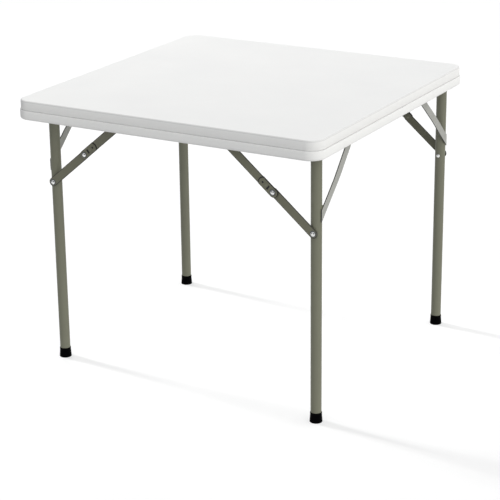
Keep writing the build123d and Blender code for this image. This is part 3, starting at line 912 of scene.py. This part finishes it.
def make_leg_rivets(name):
    """Both leg rivets. Each has a head and washer on the link, a collar between link and leg, and a
    domed tail on the leg's inside."""
    shape = Shape()
    seat = TUBE_RADIUS + COLLAR_SEAT
    link_back, link_face = LOWER_LAYER - LINK_GAP, LOWER_LAYER + STAY_SHEET + LINK_GAP
    collar = COLLAR - COLLAR_EDGE
    profile = [(radius, height - seat) for radius, height in TAIL_DOME]
    profile += [(PIN_RADIUS, -seat), (PIN_RADIUS, seat)]
    profile += [(collar, seat), (COLLAR, seat + COLLAR_EDGE)]
    profile += [(COLLAR, link_back - COLLAR_EDGE), (collar, link_back), (PIN_RADIUS, link_back)]
    profile += [(PIN_RADIUS, link_face + PIN_OVERLAP), (0.0, link_face + PIN_OVERLAP)]
    for side in SIDES.values():
        spot = (END[name] * PIVOT_X, side * LEG_Y[name], PIVOT_Z[name] - STAY_DROP)
        outwards = (0, side, 0)
        lathe(shape, profile, spot, outwards)
        rivet_head(shape, spot, side, link_face + HEAD_SEAT, *LEG_HEAD)
        washer(shape, spot, outwards, link_face)
    piece(f"leg_rivets_{name}", shape, RIVET_FINISHES, f"{name}_frame", [f"{name}_leg_rivets"])


# ---------------------------------------------------------------- gussets and welds

GUSSET_DROP = 158.0
GUSSET_REACH = 172.0
GUSSET_HALF = 11.25
GUSSET_SHEET = 2.4
GUSSET_BEND = 86.0
GUSSET_FACE = TUBE_RADIUS + 0.3
GUSSET_BAR_FACE = BAR_RADIUS + 0.1
GUSSET_OVERLAP = 4.0
GUSSET_TOP_GAP = 5.0
GUSSET_EDGE = 0.6
GUSSET_ROWS_HALF = 8.0
WELD_STEP = 1.2

# A weld along the gusset's edge: its start, number of points, bead radius and how deep it is sunk
LEG_WELD = (-3.0, 12, 1.2, 0.3)
BAR_WELD = (-5.0, 9, 1.1, 0.2)

# The weld round the bar at the leg
RING_WELD_RADIUS = 1.3
RING_WELD_REACH = BAR_RADIUS + 0.4
RING_WELD_SEAT = 0.2
RING_WELD_STEPS = 28

# The gusset's length, its direction (out, up) and the height of its bend above its lower end
GUSSET_RUN = math.hypot(GUSSET_DROP, GUSSET_REACH)
LEAN = (-GUSSET_REACH / GUSSET_RUN, GUSSET_DROP / GUSSET_RUN)
BEND_RISE = GUSSET_DROP - GUSSET_BEND


def gusset_place(name, side_name):
    """Returns place(s, v, h): s runs up the strap from the leg axis, v across it and h outwards."""
    side, end = SIDES[side_name], END[name]

    def place(s, v, h):
        out = LEAN[0] * s - LEAN[1] * v
        rise = LEAN[1] * s + LEAN[0] * v
        bent = min(1.0, max(0.0, 1.0 - (GUSSET_DROP - rise) / GUSSET_BEND))
        face = GUSSET_FACE + (GUSSET_BAR_FACE - GUSSET_FACE) * bent
        x, z = end * (PIVOT_X + face + h), PIVOT_Z[name] - GUSSET_DROP + rise
        return (x, side * (LEG_Y[name] + out), z)
    return place


def at_rise(rise, v):
    """How far up the gusset the line v reaches a height above its lower end."""
    return (rise - LEAN[0] * v) / LEAN[1]


def gusset_outline(inset):
    """The strap's border, cut upright beyond the leg axis and level above the bar axis."""
    loop = []
    for half in (GUSSET_HALF - inset, inset - GUSSET_HALF):
        cut_leg = (GUSSET_OVERLAP - inset + LEAN[1] * half) / LEAN[0]
        top = GUSSET_DROP + GUSSET_TOP_GAP - inset
        stops = [cut_leg, at_rise(BEND_RISE, half), at_rise(GUSSET_DROP, half), at_rise(top, half)]
        loop += [(s, half) for s in (stops if half > 0 else reversed(stops))]
    return loop


def make_gusset(name, side_name):
    rows = spread_rows(GUSSET_ROWS_HALF)
    lines = [[(at_rise(rise, v), v) for v in rows] for rise in (BEND_RISE, GUSSET_DROP)]
    shape = Shape()
    place = gusset_place(name, side_name)
    plate(shape, gusset_outline, [], GUSSET_SHEET, GUSSET_EDGE, place, lines, edge_kind=1)
    node = f"{name}_gusset_{side_name}"
    # A lighter face finish as painted sheen, and near-black edges as painted shade
    finishes = ["gusset_painted_sheen_steel", "edge_painted_shade_steel"]
    piece(f"gusset_strap_{name}_{side_name}", shape, finishes, f"{name}_frame", [node])


def make_welds(name, side_name):
    """Beads along the gusset's edges at leg and bar, and round the bar on both sides of the leg."""
    side, end = SIDES[side_name], END[name]
    place = gusset_place(name, side_name)
    welds = Shape()
    for v in (-GUSSET_HALF, GUSSET_HALF):
        for middle, (start, count, radius, sunk) in (
            (LEAN[1] * v / LEAN[0], LEG_WELD),
            (at_rise(GUSSET_DROP, v), BAR_WELD),
        ):
            stops = [start + WELD_STEP * k for k in range(count)]
            bead(welds, [Vector(place(middle + s, v, -sunk)) for s in stops], radius, False)
    for out in (-1, 1):
        path = []
        for a in full_turn(RING_WELD_STEPS):
            x, z = RING_WELD_REACH * math.cos(a), RING_WELD_REACH * math.sin(a)
            depth = math.sqrt(TUBE_RADIUS ** 2 - x * x) + RING_WELD_SEAT
            y = side * (LEG_Y[name] + out * depth)
            path.append(Vector((end * PIVOT_X + x, y, PIVOT_Z[name] + z)))
        bead(welds, path, RING_WELD_RADIUS, True)
    piece(f"welds_{name}_{side_name}", welds, ["leg_steel"], f"{name}_frame", sharp=70)


for name in END:
    make_leg_rivets(name)
    for side_name in SIDES:
        make_lower_link(name, side_name)
        make_upper_link(name, side_name)
        make_elbow_rivet(name, side_name)
        make_gusset(name, side_name)
        make_welds(name, side_name)


# ---------------------------------------------------------------- rail screws

SCREW_COUNT = 8
SCREW_INSET = 40.0
SCREW_Y = 407.0
SCREW_SPIN = 0.7
RAIL_SHEET = 1.5
SCREW_HEAD_Z = UNDERSIDE - RAIL_SHEET
RECESS_HALF = HALF_WIDTH - LIP_WIDTH

# Outline of the cross recess
CROSS = [(0.45, 0.45), (0.45, 1.9), (-0.45, 1.9), (-0.45, 0.45), (-1.9, 0.45), (-1.9, -0.45),
         (-0.45, -0.45), (-0.45, -1.9), (0.45, -1.9), (0.45, -0.45), (1.9, -0.45), (1.9, 0.45)]

# (radius, height) pairs from the shank to the face of the head, and the (height, share) pairs of
# the cross recess
PAN_HEAD = [(2.0, 3.0), (2.0, 0.0), (4.5, 0.0), (4.5, -0.5)]
PAN_HEAD += [(4.1, -1.2), (3.3, -1.75), (2.7, -1.95), (2.4, -2.0)]
CROSS_LEVELS = ((-2.0, 1.0), (-0.7, 0.62))


def make_screw(shape, x, y, spin):
    rings = []
    for radius, height in PAN_HEAD:
        z = SCREW_HEAD_Z + height
        circle = [(radius * math.cos(a), radius * math.sin(a)) for a in full_turn(24)]
        rings.append(shape.ring([(x + u, y + w, z) for u, w in circle]))
    shape.face(rings[0])
    for a, b in zip(rings, rings[1:]):
        shape.band(a, b)
    cos, sin = math.cos(spin), math.sin(spin)
    turned = [(u * cos - w * sin, u * sin + w * cos) for u, w in CROSS]
    pit = []
    for height, share in CROSS_LEVELS:
        z = SCREW_HEAD_Z + height
        pit.append(shape.ring([(x + u * share, y + w * share, z) for u, w in turned]))
    shape.band(pit[0], pit[1])
    shape.face(pit[1])
    shape.fill(rings[-1], [pit[0]], lambda i: shape.points[i][:2])


def make_screws():
    """Pan heads with a cross recess under the rails' flanges."""
    shape = Shape()
    first = SCREW_INSET - RECESS_HALF
    step = 2 * (RECESS_HALF - SCREW_INSET) / (SCREW_COUNT - 1)
    for side in (-1, 1):
        for index in range(SCREW_COUNT):
            make_screw(shape, first + step * index, side * SCREW_Y, SCREW_SPIN * index + side)
    piece("rail_screw_heads", shape, ["zinc"], "root", ["rail_screws"])


make_screws()


# ---------------------------------------------------------------- floor, light and camera

# Places and sizes here are in metres, and lamp angles in degrees
FLOOR_REACH = 40.0
FLOOR_TONE = (0.40, 0.40, 0.40, 1.0)

# Distances from the middle of the floor, and the glow there
FLOOR_GLOW = ((0.2, 1.0), (0.59, 0.44))


def make_floor():
    """A plain white floor. Its glow is stronger under the table, where the top holds light off."""
    mesh = bpy.data.meshes.new("floor")
    far = FLOOR_REACH
    corners = [(-far, -far, 0), (far, -far, 0), (far, far, 0), (-far, far, 0)]
    mesh.from_pydata(corners, [], [(0, 1, 2, 3)])
    floor = bpy.data.objects.new("floor", mesh)
    bpy.context.scene.collection.objects.link(floor)
    material = bpy.data.materials.new("floor")
    material.use_nodes = True
    tree = material.node_tree
    tree.nodes.clear()
    output = tree.nodes.new("ShaderNodeOutputMaterial")
    add = tree.nodes.new("ShaderNodeAddShader")
    diffuse = tree.nodes.new("ShaderNodeBsdfDiffuse")
    glow = tree.nodes.new("ShaderNodeEmission")
    diffuse.inputs["Color"].default_value = FLOOR_TONE
    glow.inputs["Color"].default_value = (1.0, 1.0, 1.0, 1.0)
    reach = tree.nodes.new("ShaderNodeVectorMath")
    reach.operation = "LENGTH"
    tree.links.new(tree.nodes.new("ShaderNodeTexCoord").outputs["Object"], reach.inputs[0])
    tree.links.new(ranged(tree, reach.outputs["Value"], *FLOOR_GLOW), glow.inputs["Strength"])
    tree.links.new(diffuse.outputs[0], add.inputs[0])
    tree.links.new(glow.outputs[0], add.inputs[1])
    tree.links.new(add.outputs[0], output.inputs["Surface"])
    mesh.materials.append(material)
    floor.visible_diffuse = False
    return floor


# Where the surround changes, and its strength there: across, and upwards. Then its tints.
ACROSS_LEVEL = ((-1.0, 1.0), (0.15, 1.55))
UPWARD_LEVEL = ((-0.20, 0.15), (0.50, 1.0))
TINT_SPREAD = (-0.5, 0.9)
COOL_TINT = (0.96, 0.975, 1.0)
WARM_TINT = (1.0, 0.995, 0.975)


def make_world():
    """Soft studio surround: bright and warm on the right, cooler and dimmer on the left, and half
    as strong below."""
    world = bpy.data.worlds.new("studio")
    world.use_nodes = True
    bpy.context.scene.world = world
    tree = world.node_tree
    tree.nodes.clear()
    output = tree.nodes.new("ShaderNodeOutputWorld")
    background = tree.nodes.new("ShaderNodeBackground")
    direction = tree.nodes.new("ShaderNodeTexCoord").outputs["Generated"]
    parts = tree.nodes.new("ShaderNodeSeparateXYZ")
    tree.links.new(direction, parts.inputs[0])
    across = ranged(tree, parts.outputs["X"], *ACROSS_LEVEL)
    upward = ranged(tree, parts.outputs["Z"], *UPWARD_LEVEL)
    level = tree.nodes.new("ShaderNodeMath")
    level.operation = "MULTIPLY"
    tree.links.new(across, level.inputs[0])
    tree.links.new(upward, level.inputs[1])
    tree.links.new(level.outputs[0], background.inputs["Strength"])
    warm = ranged(tree, parts.outputs["X"], TINT_SPREAD)
    tree.links.new(mixed(tree, warm, COOL_TINT, WARM_TINT), background.inputs["Color"])
    tree.links.new(background.outputs[0], output.inputs["Surface"])


KEY_PLACE = (-2.0, 1.35, 2.7)
KEY_AIM = (0.0, 0.0, 0.6)
KEY_SIZE = 0.45
KEY_POWER = 19.0
FILL_POWER = 0.40
FILL_SPREAD = 50.0
LOW_POWER = 3.8
LOW_SPREAD = 8.0
LOW_TURN = -4.0
LOW_RISE = 22.0


def add_lamp(name, kind, power):
    lamp = bpy.data.lights.new(name, kind)
    lamp.energy = power
    placed = bpy.data.objects.new(name, lamp)
    bpy.context.scene.collection.objects.link(placed)
    return placed


def aim(placed, direction):
    placed.rotation_mode = "QUATERNION"
    placed.rotation_quaternion = direction.to_track_quat("-Z", "Y")


def make_key():
    """A soft lamp behind the far left side, and a wide fill from straight above."""
    key = add_lamp("key", "AREA", KEY_POWER)
    key.data.shape = "DISK"
    key.data.size = KEY_SIZE
    key.location = KEY_PLACE
    key.visible_glossy = False
    aim(key, Vector(KEY_AIM) - Vector(KEY_PLACE))
    fill = add_lamp("fill", "SUN", FILL_POWER)
    fill.data.angle = math.radians(FILL_SPREAD)


def make_low_lamp(floor):
    """A low lamp on the left that lights only the floor, for the faint streaks beside the feet."""
    low = add_lamp("low_lamp", "SUN", LOW_POWER)
    low.data.angle = math.radians(LOW_SPREAD)
    along, rise = math.radians(LOW_TURN), math.radians(LOW_RISE)
    level = math.cos(rise)
    aim(low, Vector((math.cos(along) * level, math.sin(along) * level, -math.sin(rise))))
    lit = bpy.data.collections.new("floor_only")
    lit.objects.link(floor)
    low.light_linking.receiver_collection = lit


# The camera fitted to the photograph: its angles in radians, its focal length in pixels
CAMERA_PLACE = (2.1884, -3.8524, 1.8373)
CAMERA_YAW = 0.5158
CAMERA_PITCH = 0.3399
CAMERA_ROLL = -0.0114
FOCAL_PIXELS = 1729.4
SENSOR_WIDTH = 36.0


def make_camera():
    """The camera of the photograph."""
    data = bpy.data.cameras.new("camera")
    camera = bpy.data.objects.new("camera", data)
    bpy.context.scene.collection.objects.link(camera)
    yaw, pitch, roll = CAMERA_YAW, CAMERA_PITCH, CAMERA_ROLL
    level = math.cos(pitch)
    right = Vector((math.cos(yaw), math.sin(yaw), 0.0))
    ahead = Vector((-math.sin(yaw) * level, math.cos(yaw) * level, -math.sin(pitch)))
    up = right.cross(ahead)
    across = right * math.cos(roll) + up * math.sin(roll)
    upward = -right * math.sin(roll) + up * math.cos(roll)
    rows = [(across[k], upward[k], -ahead[k]) for k in range(3)]
    camera.location = CAMERA_PLACE
    camera.rotation_mode = "QUATERNION"
    camera.rotation_quaternion = Matrix(rows).to_quaternion()
    data.sensor_width = SENSOR_WIDTH
    data.lens = FOCAL_PIXELS * SENSOR_WIDTH / PHOTO_WIDTH
    data.clip_start = 0.05
    data.clip_end = 200.0
    bpy.context.scene.camera = camera


make_low_lamp(make_floor())
make_world()
make_key()
make_camera()
bpy.context.scene.view_settings.view_transform = "Standard"
